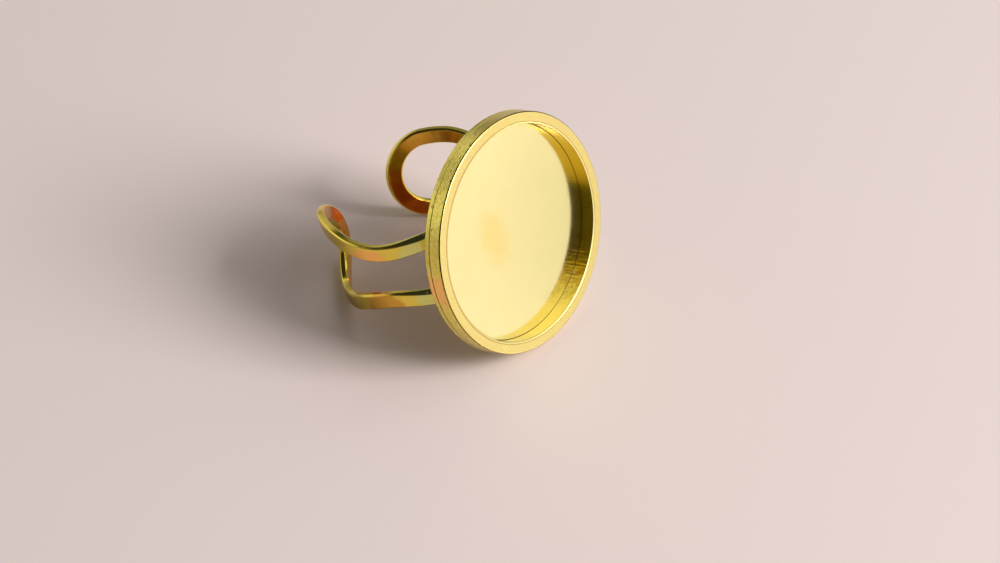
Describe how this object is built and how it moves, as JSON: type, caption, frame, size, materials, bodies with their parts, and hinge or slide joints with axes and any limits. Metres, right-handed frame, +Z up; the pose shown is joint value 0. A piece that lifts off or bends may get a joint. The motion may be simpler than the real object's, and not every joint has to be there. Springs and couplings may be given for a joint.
{
  "type": "ring blank",
  "caption": "Adjustable finger ring blank: a round, thick-walled tray for a flat-backed cabochon on an open band of two looped strips.",
  "frame": {"origin": "centre of the bounding box, on the surface that the ring lies on", "axes": "+Z up as the ring lies by itself; the tray faces -Y and leans back 26.5 degrees from upright; the near arm in the picture is towards -X"},
  "size_m": [0.0224, 0.0234, 0.0207],
  "materials": {
    "gold": "polished yellow gold plating, rim face and outer wall finely brushed"
  },
  "bodies": {
    "root": {"ring_blank": "gold"}
  },
  "joints": []
}
